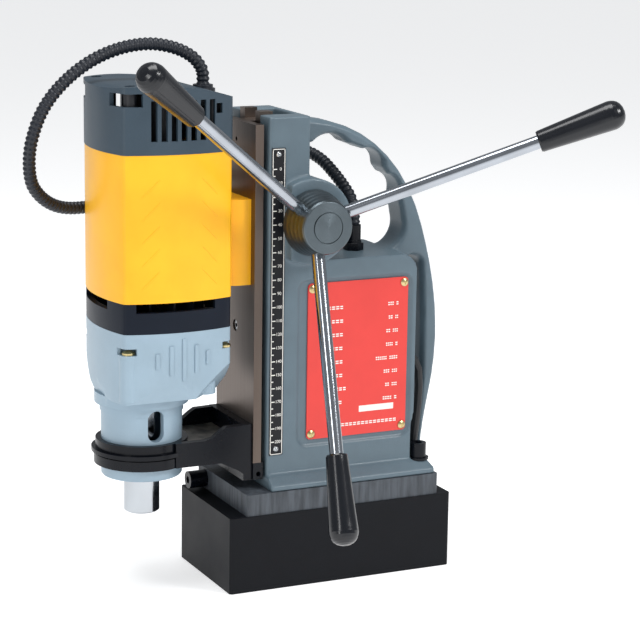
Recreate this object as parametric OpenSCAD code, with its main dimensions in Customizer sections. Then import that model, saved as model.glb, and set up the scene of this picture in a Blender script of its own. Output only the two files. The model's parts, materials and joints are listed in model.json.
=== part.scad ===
// Magnetic drill press: an electromagnet base carries a cast column, and a
// geared drill motor travels up and down the column on a rack and a capstan.
// Frame: +Z up, the drill is towards -Y, the handle towards +Y and the
// rating plate on +X. The origin is the centre of the magnet's working face.

/* [Magnet base] */
// Length of the magnet base along Y
base_l = 180; // [176:1:190]
// Width of the magnet base along X
base_w = 96; // [94:1:104]
// Height of the magnet base
base_h = 57; // [54:1:60]

/* [Spacer plate] */
// Length of the spacer plate along Y
spacer_l = 156; // [154:1:160]
// Width of the spacer plate along X
spacer_w = 94; // [93:1:96]
// Thickness of the spacer plate
spacer_t = 16; // [14:1:18]

/* [Column casting] */
// Width of the column across X
column_w = 72; // [72:1:76]
// Height of the column top above the magnet face
column_top = 345; // [344:1:352]
// Thickness of the curved handle across X
handle_t = 30; // [26:1:34]
// Width of the channel that the slide runs in
channel_w = 36; // [36:0.5:37]

/* [Drill] */
// Side of the drill body, from corner to corner
motor_w = 80.4; // [79.6:0.2:82]
// How far each side of the drill body bulges past its corners
motor_bulge = 6.7; // [5:0.1:8]
// Radius of the spindle nose
spindle_r = 13; // [12.5:0.1:13.4]
// Outer radius of the gearbox neck that the bracket clamps
neck_r = 29.3; // [28.5:0.1:29.8]

/* [Capstan] */
// Tilt of the arms away from the column, degrees
arm_tilt = 26; // [15:1:30]
// Angle of the first arm above +Y, degrees
arm_angle = 24; // [0:1:60]
// Length of an arm from the hub axis to the end of its rod
arm_len = 219; // [180:1:240]
// Radius of an arm rod
rod_r = 4.9; // [4:0.1:6]

/* [Hidden] */
$fn = 64;
eps = 0.01;

// Levels and stations of the standing parts
spacer_y = 1.5;
foot_z = base_h + spacer_t;
foot_top = foot_z + 10;
column_front = -56.5;
column_rear = -24.5;
column_x = column_w / 2;
channel_x = channel_w / 2;
channel_back = -29;
box_rear = 64;
box_top = 240;
box_wall = 5;
boss_r = 31.3;
recess_depth = 2;

// Capstan axis and rack
hub_y = -27;
hub_z = 270;
hub_boss_x = 46;
hub_back_x = 47;
hub_front_x = 72;
hub_r = 19;
hub_back_r = 24;
arm_root_x = 50;
rack_module = 1.5;
pinion_teeth = 12;
pinion_r = rack_module * pinion_teeth / 2;
rack_line_y = hub_y - pinion_r;
shaft_r = 7;
running = 0.05;
bush_r = 12;

// Slide
slide_x = 34.5;
slide_front = -66.8;
slide_back = -60.5;
slide_bottom = 93;
slide_top = 339.7;
gib_x0 = 9.5;
gib_back = -46.5;

// Drill axes and levels
motor_y = -127.6;
spindle_y = -140;
motor_half = motor_w / 2;
side_r = (pow(motor_half, 2) + pow(motor_bulge, 2)) / (2 * motor_bulge);
side_off = side_r - motor_half - motor_bulge;
corner_r = motor_half * sqrt(2) - 0.6;
gland_y = -93;
spindle_end_z = 57.4;
neck_bottom = 86;
neck_top = 140;
gearbox_bottom = 147;
gearbox_top = 197.6;
collar_top = 219.4;
housing_top = 323.2;
motor_bore = 4.5;
slot_z0 = 115;
slot_z1 = 138;

// Gear train: armature to layshaft to spindle
stage1_module = 0.8;
stage1_pinion = 9;
stage1_gear = 46;
stage2_module = 1.5;
stage2_pinion = 11;
stage2_gear = 33;
lay_dist = stage1_module * (stage1_pinion + stage1_gear) / 2;
out_dist = stage2_module * (stage2_pinion + stage2_gear) / 2;
axis_gap = motor_y - spindle_y;
lay_angle = asin((pow(out_dist, 2) - pow(lay_dist, 2) - pow(axis_gap, 2))
    / (2 * lay_dist * axis_gap));
lay_x = lay_dist * cos(lay_angle);
lay_y = motor_y + lay_dist * sin(lay_angle);
out_angle = atan2(lay_y - spindle_y, lay_x);

// Base bolts, as [x, y]
rear_bolts = [[33, 69.7], [-33, 69.7]];
box_bolts = [[22, -8], [-22, -8]];
foot_bolts = concat(rear_bolts, box_bolts);
lead_xy = [21, 72];

// Colours
casting_c = "#6e7d84";
black_c = "#1a1c21";
steel_c = "#a9a7a2";
chrome_c = "#d5d9dc";
yellow_c = "#f9c32a";
alloy_c = "#a9bfcd";

// The conduit's route, from the gland on the control box, behind the
// column and round the far side of the motor to the gland on its cover
conduit_r = 4.8;
conduit_route = [
    [5, 26, 264], [4.2, 25.6, 271], [1, 24.6, 279], [-6, 22, 287],
    [-16, 19, 295], [-28, 15, 303], [-40, 9, 308], [-50, -1, 310],
    [-56, -15, 309], [-59, -35, 304], [-60, -62, 296], [-60, -92, 288],
    [-59, -120, 281], [-56, -144, 276], [-50, -165, 274],
    [-43, -184, 276], [-36, -199, 283], [-30, -210, 295],
    [-25, -214, 311], [-21, -213, 329], [-17, -206, 350],
    [-13, -193, 368], [-10, -174, 383], [-7, -153, 392],
    [-4, -132, 395], [-2, -114, 392], [-0.6, -101, 385.5],
    [0, -94.2, 377], [0, -93, 370]
];
conduit_ends = [[5, 26, 259], [0, -93, 366]];

// The magnet's lead, clipped from the control box down to the base
lead_r = 3;
lead_at = [
    [56, 161], [66, 160.5], [71, 156], [74.5, 148], [75.5, 136], [75, 122],
    [73.5, 107], [72, 94], [72, 78], [72, 60], [72, 37.2]
];
lead_route = [for (p = lead_at) [lead_xy[0], p[0], p[1]]];

// ---------------------------------------------------------------- helpers

// A box from its lowest to its highest corner
module block(a, b) {
    translate(a) cube(b - a);
}

// A cylinder along each axis, from one station to another
module xcyl(y, z, x0, x1, r) {
    translate([x0, y, z]) rotate([0, 90, 0]) cylinder(r = r, h = x1 - x0);
}
module ycyl(x, z, y0, y1, r) {
    translate([x, y0, z]) rotate([-90, 0, 0]) cylinder(r = r, h = y1 - y0);
}
module zcyl(x, y, z0, z1, r) {
    translate([x, y, z0]) cylinder(r = r, h = z1 - z0);
}

// A rectangle with round corners about the origin
module round_rect(w, l, r) {
    square([w - 2 * r, l], center = true);
    square([w, l - 2 * r], center = true);
    for (sx = [-1, 1], sy = [-1, 1])
        translate([sx * (w / 2 - r), sy * (l / 2 - r)]) circle(r = r);
}

// A rectangle with cut corners about the origin
module cut_rect(w, l, c) {
    polygon([
        [-w / 2 + c, -l / 2], [w / 2 - c, -l / 2], [w / 2, -l / 2 + c],
        [w / 2, l / 2 - c], [w / 2 - c, l / 2], [-w / 2 + c, l / 2],
        [-w / 2, l / 2 - c], [-w / 2, -l / 2 + c]
    ]);
}

// Extrudes a child drawn in (y, z) along X, from x0 to x1
module along_x(x0, x1) {
    translate([x0, 0, 0]) rotate([90, 0, 90]) linear_extrude(x1 - x0)
        children();
}

// Extrudes a child drawn in (x, z) along Y, from y0 to y1
module along_y(y0, y1) {
    translate([0, y1, 0]) rotate([90, 0, 0]) linear_extrude(y1 - y0)
        children();
}

// A tall slot with round ends, drawn about the origin
module obround(w, h) {
    square([w, h - w], center = true);
    for (s = [-1, 1]) translate([0, s * (h - w) / 2]) circle(d = w);
}

// A socket-head cap screw: the head stands on z = 0, the shank points down
module cap_screw(shank_r, shank_l, head_r, head_h, key_r) {
    difference() {
        union() {
            cylinder(r = head_r, h = head_h);
            translate([0, 0, -shank_l]) cylinder(r = shank_r, h = shank_l);
        }
        translate([0, 0, head_h * 0.45])
            cylinder(r = key_r, h = head_h, $fn = 6);
    }
}

// A pan-head screw with a cross recess, standing on z = 0
module pan_screw(shank_r, shank_l, head_r, head_h) {
    difference() {
        union() {
            rotate_extrude() intersection() {
                translate([0, head_h - head_r * 1.6]) circle(r = head_r * 1.6);
                square([head_r, head_h]);
            }
            translate([0, 0, -shank_l]) cylinder(r = shank_r, h = shank_l);
        }
        for (a = [0, 90]) rotate(a)
            translate([0, 0, head_h]) cube([head_r, 0.7, 1.2], center = true);
    }
}

// One point on a cubic curve
function curve_at(p, t) = pow(1 - t, 3) * p[0] + 3 * pow(1 - t, 2) * t * p[1]
    + 3 * (1 - t) * t * t * p[2] + t * t * t * p[3];
function curve(p, steps) = [for (i = [0:steps]) curve_at(p, i / steps)];
function arc(c, r, a0, a1, steps) =
    [for (i = [0:steps]) let (a = a0 + (a1 - a0) * i / steps)
        c + r * [cos(a), sin(a)]];

// Involute gear outline: half the tooth's angle at a radius
function inv(a) = tan(a) * 180 / PI - a;
function flank(r, m, z, thin) =
    let (rp = m * z / 2, rb = rp * cos(20), rr = max(r, rb))
        90 / z - thin * 90 / (PI * rp) + inv(20) - inv(acos(rb / rr));
function gear_outline(m, z, add, ded, thin) = let (
    rp = m * z / 2, r0 = rp - ded * m, r1 = rp + add * m,
    radii = [r0, (r0 + rp) / 2, rp, (rp + r1) / 2, r1]
) [
    for (k = [0:z - 1], i = [0:2 * len(radii) - 1]) let (
        up = i < len(radii),
        r = up ? radii[i] : radii[2 * len(radii) - 1 - i],
        h = flank(r, m, z, thin) * (up ? -1 : 1),
        a = 360 * k / z + h
    ) r * [cos(a), sin(a)]
];
module gear(m, z, add, ded, thin, h) {
    linear_extrude(h) polygon(gear_outline(m, z, add, ded, thin));
}

// A tube swept along a route: one ring of points at each route point
function unit(v) = v / norm(v);
function route_dir(p, i) = unit(p[min(i + 1, len(p) - 1)] - p[max(i - 1, 0)]);
function turn_frame(u, d) = unit(u - (u * d) * d);
function route_side(p, i) = i == 0
    ? turn_frame([1, 0.2, 0], route_dir(p, 0))
    : turn_frame(route_side(p, i - 1), route_dir(p, i));
module swept_tube(p, r, sides) {
    n = len(p);
    rings = [for (i = [0:n - 1]) let (
        d = route_dir(p, i), u = route_side(p, i), v = cross(d, u)
    ) for (k = [0:sides - 1]) let (a = 360 * k / sides)
        p[i] + r * (cos(a) * u + sin(a) * v)];
    walls = [for (i = [0:n - 2], k = [0:sides - 1]) let (
        a = i * sides + k, b = i * sides + (k + 1) % sides
    ) [a, a + sides, b + sides, b]];
    first = [for (k = [0:sides - 1]) k];
    last = [for (k = [0:sides - 1]) n * sides - 1 - k];
    polyhedron(rings, concat(walls, [first, last]), convexity = 8);
}

// A smooth curve through every route point, with extra rings between them
function smooth_at(a, b, c, d, t) = 0.5 * (2 * b + (c - a) * t
    + (2 * a - 5 * b + 4 * c - d) * t * t + (3 * b - a - 3 * c + d) * t * t * t);
function smooth_route(p, steps) = concat(
    [for (i = [0:len(p) - 2], s = [0:steps - 1]) smooth_at(
        p[max(i - 1, 0)], p[i], p[i + 1], p[min(i + 2, len(p) - 1)], s / steps)],
    [p[len(p) - 1]]
);

// ------------------------------------------------------------ magnet base

cavity = [74, 158, 40];
core_size = [36, 120];

module magnet_housing() color(black_c) difference() {
    linear_extrude(base_h) cut_rect(base_w, base_l, 1.5);
    translate([0, 0, -eps]) linear_extrude(cavity[2] + eps)
        round_rect(cavity[0], cavity[1], 6);
    for (p = foot_bolts) zcyl(p[0], p[1], base_h - 14, base_h + eps, 4);
    for (s = [-1, 1]) zcyl(0, s * 40, 39, base_h + eps, 5);
    zcyl(lead_xy[0], lead_xy[1], 39, base_h + eps, 4);
}

module magnet_core() color(black_c) difference() {
    linear_extrude(cavity[2]) round_rect(core_size[0], core_size[1], 6);
    for (s = [-1, 1]) zcyl(0, s * 40, 22, cavity[2] + eps, 4.2);
}

module ring_fill(outer, inner, z0, z1) {
    translate([0, 0, z0]) linear_extrude(z1 - z0) difference() {
        round_rect(outer[0], outer[1], 6);
        round_rect(inner[0], inner[1], 6);
    }
}

module magnet_coil() color("#a5522a")
    ring_fill([70, 154], [39, 123], 10, 37);

module magnet_potting() color("#101114")
    ring_fill([cavity[0], cavity[1]], core_size, 0.4, 9);

module spacer_plate() color("#3c424a") difference() {
    translate([0, spacer_y, base_h]) linear_extrude(spacer_t)
        cut_rect(spacer_w, spacer_l, 1);
    for (p = foot_bolts) zcyl(p[0], p[1], base_h - eps, foot_z + eps, 4.5);
    zcyl(lead_xy[0], lead_xy[1], base_h - eps, foot_z + eps, 4);
    ycyl(-33, 65, -77, -60, 4);
}

// The cap screw that the safety strap hooks over
module strap_pin() color(black_c)
    translate([-33, spacer_y - spacer_l / 2, 65]) rotate([90, 0, 0])
        cap_screw(4, 14, 6.5, 14, 3);

// ---------------------------------------------------------- column casting

// Outline of the curved handle, from the column's top round to the foot
handle_outer = concat(
    curve([[-30, 340.5], [26, 342], [64, 310], [80, 257]], 10),
    curve([[80, 257], [92, 218], [98, 180], [92, 141]], 8),
    curve([[92, 141], [89.5, 125], [84, 105], [82.5, foot_z + 4]], 5)
);
// The hand opening, before the finger grooves
hand_hole = concat(
    [[-30, 240], [-30, 322]],
    curve([[8, 322], [34, 321], [60, 296], [64, 258]], 8),
    arc([46, 258], 18, 0, -90, 6)
);
// Finger grooves along the top of the opening: [y, z, radius]
finger_grooves = [[2, 310, 18], [33, 303, 13], [47.4, 283.5, 13]];
// The slot between the control box and the handle
slot_outline = concat(
    [[box_rear, foot_z]],
    arc([72, 226], 8, 180, 20, 6),
    curve([[79.5, 228], [81, 205], [83, 160], [81, 130]], 5),
    [[77.5, 95], [76.5, foot_z]]
);
box_outline = concat(
    [[column_rear - 1, foot_z], [61, foot_z], [62, 90], [box_rear, 125]],
    arc([box_rear - 13, box_top - 13], 13, 0, 90, 6),
    [[column_rear - 1, box_top]]
);

module handle_2d() difference() {
    polygon(concat([[-30, foot_z + 4]], handle_outer));
    polygon(hand_hole);
    for (g = finger_grooves) translate([g[0], g[1]]) circle(r = g[2]);
    polygon(slot_outline);
}

module foot() intersection() {
    along_y(-57, 77) polygon([
        [-46.5, foot_z], [46.5, foot_z], [46.5, foot_z + 3.5],
        [38, foot_top], [-38, foot_top], [-46.5, foot_z + 3.5]
    ]);
    along_x(-60, 60) polygon([
        [-57, foot_z], [77, foot_z], [77, foot_z + 5], [74, foot_top],
        [-55, foot_top], [-57, foot_top - 2]
    ]);
}

module drill_frame() color(casting_c) difference() {
    union() {
        foot();
        translate([0, (column_front + column_rear) / 2, foot_z])
            linear_extrude(column_top - foot_z)
            round_rect(column_w, column_rear - column_front, 1.6);
        along_x(-column_x, column_x) polygon(box_outline);
        along_x(-column_x, column_x) intersection() {
            translate([hub_y, hub_z]) circle(r = boss_r);
            translate([-40, 200]) square([80, 120]);
        }
        along_x(-handle_t / 2 + 5, handle_t / 2 - 5) handle_2d();
        for (e = [[1, 2.2], [2.6, 0.6]])
            along_x(-handle_t / 2 + e[1], handle_t / 2 - e[1])
            offset(delta = -e[0]) handle_2d();
        // Pinion housing: its near boss is cut flat beside the scale
        along_x(30, hub_boss_x) intersection() {
            translate([hub_y, hub_z]) circle(r = boss_r);
            translate([-43.5, 200]) square([80, 120]);
        }
        xcyl(hub_y, hub_z, -44, -30, 20);
    }
    // The channel that the slide and the rack run in
    block([-channel_x, column_front - 5, foot_top],
        [channel_x, channel_back, column_top + 1]);
    xcyl(hub_y, hub_z, -channel_x, channel_x, 14);
    // Bores for the pinion shaft's bushes
    xcyl(hub_y, hub_z, channel_x - eps, hub_boss_x + 1, bush_r);
    xcyl(hub_y, hub_z, -41, -channel_x + eps, bush_r);
    // The control box, open on the far side, with posts for its cover
    difference() {
        block([-column_x - 1, column_rear, foot_top + 5],
            [column_x - box_wall - recess_depth, 57, box_top - box_wall]);
        for (p = cover_screw_at) xcyl(p[0], p[1], -column_x, -22, 5.5);
    }
    // The recess that frames the rating plate
    along_x(column_x - recess_depth, column_x + 1)
        translate([13.7, 164]) round_rect(93, 125, 8);
    for (p = plate_screw_at) xcyl(p[0], p[1], 28, 35, 1.5);
    for (p = cover_screw_at) xcyl(p[0], p[1], -36.5, -26, 1.7);
    for (p = rear_bolts) {
        zcyl(p[0], p[1], foot_z - 1, foot_top + 1, 4.5);
        zcyl(p[0], p[1], foot_top - 1, foot_top + 30, 8.4);
    }
    for (p = box_bolts) zcyl(p[0], p[1], foot_z - 1, foot_top + 6, 4.5);
    // Lead holes in the box's rear wall and in the foot
    ycyl(lead_xy[0], 160.5, 50, 66, 3.4);
    zcyl(lead_xy[0], lead_xy[1], foot_z - 1, foot_top + 1, 4);
    zcyl(gland_xy[0], gland_xy[1], box_top - 8, box_top + 1, 4.2);
    for (z = gib_screw_z) {
        xcyl(gib_screw_y, z, -37, -channel_x + 1, 2.5);
        xcyl(gib_screw_y, z, channel_x - 1, channel_x + 10, 2);
    }
    for (z = scale_rivet_z) xcyl(scale_y, z, column_x - 6, column_x + 1, 1.2);
}

module frame_bolts() color("#22252a") {
    for (p = rear_bolts) translate([p[0], p[1], foot_top - 1]) {
        translate([0, 0, 1.6]) cap_screw(4, 39.6, 6, 11, 3.2);
        difference() {
            cylinder(r = 8, h = 1.6);
            translate([0, 0, -1]) cylinder(r = 4.2, h = 4);
        }
    }
    for (p = box_bolts) translate([p[0], p[1], foot_top + 5])
        cap_screw(4, 44, 6, 8, 3.2);
}

// -------------------------------------------------- plates on the casting

plate_y = [-24.5, 57];
plate_z = [106.5, 223];
plate_mid = [(plate_y[0] + plate_y[1]) / 2, (plate_z[0] + plate_z[1]) / 2];
plate_face = column_x - recess_depth + 1.2;
plate_screw_at = [for (y = [plate_y[0] + 3.4, plate_y[1] - 3.4],
    z = [plate_z[0] + 4, plate_z[1] - 4]) [y, z]];

module nameplate() color("#ee5048") difference() {
    along_x(column_x - recess_depth, plate_face)
        translate(plate_mid) round_rect(81.5, 116.5, 3);
    for (p = plate_screw_at) xcyl(p[0], p[1], 33, 36, 1.6);
}

module nameplate_screws() color("#d8d0b0")
    for (p = plate_screw_at) translate([plate_face, p[0], p[1]])
        rotate([0, 90, 0]) pan_screw(1.4, 6, 3, 1.7);

scale_y = -49.7;
scale_z = [98, 323];
scale_rivet_z = [102.5, 318.5];

module travel_scale() color("#15161a") difference() {
    block([column_x, scale_y - 5.3, scale_z[0]],
        [column_x + 0.8, scale_y + 5.3, scale_z[1]]);
    for (z = scale_rivet_z) xcyl(scale_y, z, column_x - 1, column_x + 2, 1.3);
}

module scale_rivets() color("#cfd2d4")
    for (z = scale_rivet_z) translate([column_x + 0.8, scale_y, z])
        rotate([0, 90, 0]) {
            rotate_extrude() intersection() {
                translate([0, -1]) circle(r = 2.3);
                square([3, 3]);
            }
            translate([0, 0, -5]) cylinder(r = 1.1, h = 5);
        }

// ------------------------------------------------------ slideway and bushes

gib_screw_y = -51.5;
gib_screw_z = [105, 165, 225, 325];

module gib_strips() color(steel_c) for (s = [-1, 1]) scale([s, 1, 1])
    difference() {
        block([gib_x0, column_front + 0.2, foot_top + 1],
            [channel_x, gib_back, column_top + 2]);
        for (z = gib_screw_z) {
            xcyl(gib_screw_y, z, s > 0 ? gib_x0 - 1 : 15, channel_x + 1, 2);
            if (s > 0) xcyl(gib_screw_y, z, gib_x0 - 1, gib_x0 + 3, 3.6);
        }
    }

module gib_screws() color("#8b8f92") for (z = gib_screw_z) {
    // Flat-headed screws hold the near strip
    xcyl(gib_screw_y, z, gib_x0 + 0.4, gib_x0 + 3, 3.5);
    xcyl(gib_screw_y, z, gib_x0 + 3, channel_x + 9, 1.9);
    // Adjusting screws and their lock nuts press the far strip
    difference() {
        union() {
            xcyl(gib_screw_y, z, -41, -channel_x, 2.5);
            translate([-39.2, gib_screw_y, z]) rotate([0, 90, 0])
                cylinder(r = 4.6, h = 3.2, $fn = 6);
        }
        translate([-42, gib_screw_y, z]) rotate([0, 90, 0])
            cylinder(r = 1.3, h = 5, $fn = 6);
    }
}

module pinion_bushes() color("#b08a4a") for (x = [[20, 45.8], [-40.8, -20]])
    difference() {
        xcyl(hub_y, hub_z, x[0], x[1], bush_r);
        xcyl(hub_y, hub_z, x[0] - 1, x[1] + 1, shaft_r + running);
    }

// --------------------------------------------------------- electrical parts

gland_xy = [5, 26];

// A hex body screwed into the box top, and the ferrule that grips the conduit
module gland(z0, ferrule_r, ferrule_h, thread_l) {
    translate([0, 0, z0]) difference() {
        union() {
            cylinder(r = 7.6, h = 5.5, $fn = 6);
            cylinder(r = ferrule_r + 0.6, h = 7.5);
            cylinder(r = ferrule_r, h = ferrule_h);
            translate([0, 0, -thread_l]) cylinder(r = 4.2, h = thread_l);
        }
        translate([0, 0, -thread_l - 1])
            cylinder(r = 2.6, h = thread_l + ferrule_h + 2);
    }
}

module conduit_gland() color("#30343a")
    translate([gland_xy[0], gland_xy[1], 0]) gland(box_top, 5.4, 19, 7);

module magnet_lead() color("#141518") swept_tube(lead_route, lead_r, 10);

module circuit_board() color("#2f6b45") {
    difference() {
        block([12, -16, 104], [13.6, 50, 222]);
        for (y = [-11, 45], z = [109, 217]) xcyl(y, z, 11, 15, 1.6);
    }
    block([4, 20, 170], [12, 46, 200]);
    block([6, -10, 120], [12, 8, 150]);
    for (z = [112, 128, 144]) xcyl(36, z, 2, 12, 5);
    for (y = [-11, 45], z = [109, 217]) xcyl(y, z, 13.6, 29, 3);
}

module rectifier_block() color("#5b6064") {
    block([15.5, -12, 168], [29, 16, 205]);
    for (i = [0:4]) block([13.8, -10 + i * 5.5, 168], [15.5, -8 + i * 5.5, 205]);
}

module terminal_block() color("#d8d3c4") difference() {
    block([-30, 4, 88], [-16, 44, 102]);
    for (i = [0:5]) zcyl(-23, 7 + i * 7, 94, 103, 2.2);
}

cover_x = -column_x;
cover_t = 3;
cover_outline = concat(
    [[-32, 85], [59.8, 85], [60.8, 92], [62.6, 125]],
    arc([box_rear - 13, box_top - 13], 11.6, 0, 90, 5),
    [[-32, box_top - 1.4]]
);
cover_screw_at = [[-20, 92.5], [52.5, 92.5], [-20, 230.5], [52, 230]];
rocker_at = [20, 198];
rocker_x = -37.5;
start_at = [4, 158];
stop_at = [36, 158];
knob_at = [4, 118];
lamp_at = [48, 206];
inlet_at = [38, 112];

module control_cover() color(casting_c) difference() {
    along_x(cover_x - cover_t, cover_x) polygon(cover_outline);
    for (p = cover_screw_at) xcyl(p[0], p[1], -40, -35, 1.9);
    along_x(-41, -35) translate(rocker_at) square([19, 27], center = true);
    for (p = [start_at, stop_at]) xcyl(p[0], p[1], -41, -35, 9);
    xcyl(knob_at[0], knob_at[1], -41, -35, 4);
    xcyl(lamp_at[0], lamp_at[1], -41, -35, 4);
    xcyl(inlet_at[0], inlet_at[1], -41, -35, 6);
}

module cover_plate_screws() color("#b9bcbe") for (p = cover_screw_at)
    translate([cover_x - cover_t, p[0], p[1]]) rotate([0, -90, 0])
        pan_screw(1.6, 11, 3.2, 1.9);

module switch_bezels() color("#1b1d22") {
    difference() {
        union() {
            along_x(cover_x - cover_t - 2, cover_x - cover_t)
                translate(rocker_at) round_rect(23, 31, 2);
            along_x(cover_x - cover_t, cover_x + 12)
                translate(rocker_at) square([18.6, 26.6], center = true);
        }
        along_x(cover_x - cover_t - 5, cover_x + 9)
            translate(rocker_at) square([15, 23], center = true);
    }
    for (p = [start_at, stop_at]) difference() {
        union() {
            xcyl(p[0], p[1], cover_x - cover_t - 3, cover_x - cover_t, 12);
            xcyl(p[0], p[1], cover_x - cover_t, cover_x + 14, 8.9);
        }
        xcyl(p[0], p[1], cover_x - cover_t - 5, cover_x + 11, 7.5);
    }
    // The speed regulator's body and bush
    difference() {
        union() {
            xcyl(knob_at[0], knob_at[1], cover_x, cover_x + 12, 9);
            xcyl(knob_at[0], knob_at[1], cover_x - cover_t, cover_x, 3.9);
        }
        xcyl(knob_at[0], knob_at[1], -41, cover_x + 9, 3.05);
    }
    for (s = [-1, 1]) ycyl(rocker_x, rocker_at[1],
        rocker_at[0] - 1.3 + s * 6.3, rocker_at[0] + 1.3 + s * 6.3, 1.15);
}

module indicator_lamp() color("#3fae4d") {
    translate([cover_x - cover_t, lamp_at[0], lamp_at[1]]) rotate([0, -90, 0])
        rotate_extrude() intersection() {
            translate([0, -2.5]) circle(r = 6);
            square([5.2, 5]);
        }
    xcyl(lamp_at[0], lamp_at[1], cover_x - cover_t, cover_x + 10, 3.9);
}

module inlet_gland() color("#26282d")
    translate([cover_x - cover_t, inlet_at[0], inlet_at[1]])
        rotate([0, -90, 0]) difference() {
            union() {
                cylinder(r = 10, h = 5, $fn = 6);
                translate([0, 0, 5]) cylinder(r = 8, h = 3);
                translate([0, 0, 8]) cylinder(r1 = 8, r2 = 6.2, h = 5);
                translate([0, 0, -9]) cylinder(r = 5.9, h = 9);
            }
            translate([0, 0, -10]) cylinder(r = 4, h = 30);
        }

rocker_tilt = 9;
module magnet_rocker() color("#c62f28")
    translate([rocker_x, rocker_at[0], rocker_at[1]])
        rotate([0, rocker_tilt, 0]) difference() {
            along_y(-7.2, 7.2) polygon([
                [-5.2, -10.4], [-4, 0], [-5.2, 10.4], [1, 9.6], [4.5, 0],
                [1, -9.6]
            ]);
            ycyl(0, 0, -8, 8, 1.2);
        }

// A round push button with a shallow dish in its face
module push_button(at, tint) color(tint)
    translate([cover_x, at[0], at[1]]) rotate([0, -90, 0]) difference() {
        union() {
            cylinder(r = 7.2, h = 8);
            translate([0, 0, -7]) cylinder(r = 3, h = 7);
        }
        translate([0, 0, 8 + 11.4]) sphere(r = 12);
    }

module start_button() push_button(start_at, "#2f9e4f");
module stop_button() push_button(stop_at, "#c9302c");

module speed_knob() color("#202227")
    translate([cover_x - cover_t - 0.6, knob_at[0], knob_at[1]])
        rotate([0, -90, 0]) difference() {
            union() {
                cylinder(r = 13, h = 3);
                translate([0, 0, 3]) cylinder(r = 10.5, h = 10);
                translate([0, 0, -11]) cylinder(r = 3, h = 11);
            }
            for (i = [0:17]) rotate(i * 20)
                translate([11.2, 0, 4]) cylinder(r = 1.1, h = 12);
            translate([-0.6, 2, 12.2]) cube([1.2, 8, 2]);
        }

// ----------------------------------------------------------------- carriage

module slide_plate() color(steel_c) difference() {
    union() {
        block([-slide_x, slide_front, slide_bottom],
            [slide_x, slide_back, slide_top]);
        block([-gib_x0 + 0.1, slide_back - 1, slide_bottom],
            [gib_x0 - 0.1, gib_back + 1, slide_top]);
        block([-17.9, gib_back + 0.1, slide_bottom],
            [17.9, rack_line_y - 6, slide_top]);
    }
    // Rack screws: counterbored in front, tapped into the rack
    for (z = rack_screw_z) {
        ycyl(0, z, slide_front - 1, rack_line_y - 5, 2.2);
        ycyl(0, z, slide_front - 1, slide_front + 5, 4.2);
    }
    for (x = [-20, 20], z = mount_bolt_z)
        ycyl(x, z, slide_front - 1, slide_back + 1, 3.6);
    for (x = [-20, 20], z = mount_bolt_z)
        ycyl(x, z, slide_back - 2.6, slide_back + 1, 6.4);
    for (x = [-24, 24], z = bracket_bolt_z)
        ycyl(x, z, slide_front - 1, slide_back + 1, 2.6);
    ycyl(0, 326, slide_front - 1, slide_front + 5, 1.6);
    for (x = [-26, 26]) zcyl(x, -63.6, slide_bottom - 1, slide_bottom + 10, 1.6);
}

rack_z0 = 84.2;
rack_z1 = 337;
rack_screw_z = [100, 189, 255];
rack_pitch = PI * rack_module;
rack_thin = 0.16;
// Rack teeth stand on the pitch line with a gap level with the pinion axis
rack_count = ceil((hub_z - rack_z0) / rack_pitch);
rack_tooth_z = [for (i = [-rack_count:14])
    hub_z + (i + 0.5) * rack_pitch];
rack_teeth = [for (z = rack_tooth_z)
    if (z > rack_z0 + 2.6 && z < rack_z1 - 2.6) z];

module rack() color("#6b6f73") difference() {
    union() {
        block([-8, rack_line_y - 6, rack_z0], [8, rack_line_y - 1.9, rack_z1]);
        along_x(-8, 8) for (z = rack_teeth) polygon([
            [rack_line_y - 2, z - rack_pitch / 4 - 0.6],
            [rack_line_y, z - rack_pitch / 4 + rack_thin],
            [rack_line_y + 1.35, z - rack_pitch / 4 + rack_thin + 0.49],
            [rack_line_y + 1.35, z + rack_pitch / 4 - rack_thin - 0.49],
            [rack_line_y, z + rack_pitch / 4 - rack_thin],
            [rack_line_y - 2, z + rack_pitch / 4 + 0.6]
        ]);
    }
    for (z = rack_screw_z)
        ycyl(0, z, rack_line_y - 7, rack_line_y - 2.6, 2);
}

module stop_block() color("#77695c") difference() {
    block([-slide_x, slide_front + 0.2, 80.5],
        [slide_x, slide_back + 1.5, slide_bottom]);
    xcyl(-62.4, 84.6, slide_x - 8, slide_x + 1, 1.8);
    for (x = [-26, 26]) zcyl(x, -63.6, 79, slide_bottom + 1, 2);
}

mount_x = 27.5;
mount_z = [224, 286];
mount_bolt_z = [236, 274];

module mount_block() color(yellow_c) difference() {
    translate([0, 0, mount_z[0]]) linear_extrude(mount_z[1] - mount_z[0])
        polygon([
            [-mount_x, slide_front], [mount_x, slide_front],
            [mount_x, -77], [mount_x - 3, -87], [-mount_x + 3, -87],
            [-mount_x, -77]
        ]);
    body_prism(0, 200, 300);
    for (x = [-20, 20], z = mount_bolt_z)
        ycyl(x, z, -79, slide_front + 1, 3.4);
}

module mount_bolts() color("#8b8f92") {
    for (x = [-20, 20], z = mount_bolt_z) {
        ycyl(x, z, -78, slide_back - 2.6, 3.4);
        ycyl(x, z, slide_back - 2.6, slide_back - 0.1, 6.2);
    }
    for (z = rack_screw_z) difference() {
        union() {
            ycyl(0, z, slide_front + 5, rack_line_y - 3, 2);
            ycyl(0, z, slide_front + 1, slide_front + 5, 4);
        }
        translate([0, slide_front, z]) rotate([-90, 0, 0])
            cylinder(r = 1.8, h = 3, $fn = 6);
    }
}

// Bracket that steadies the gearbox neck: ring, cheeks, web and back plate
bracket_x = 32.5;
bracket_bolt_z = [99, 115];
ring_z = [95, 113];
cheek_outline = [
    [slide_front, 80], [slide_front, 122], [-87, 121.4], [-91, 119],
    [-97, 114.4], [-104, 113], [-126, 113], [-126, 95], [-91, 95],
    [-77, 88]
];

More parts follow.
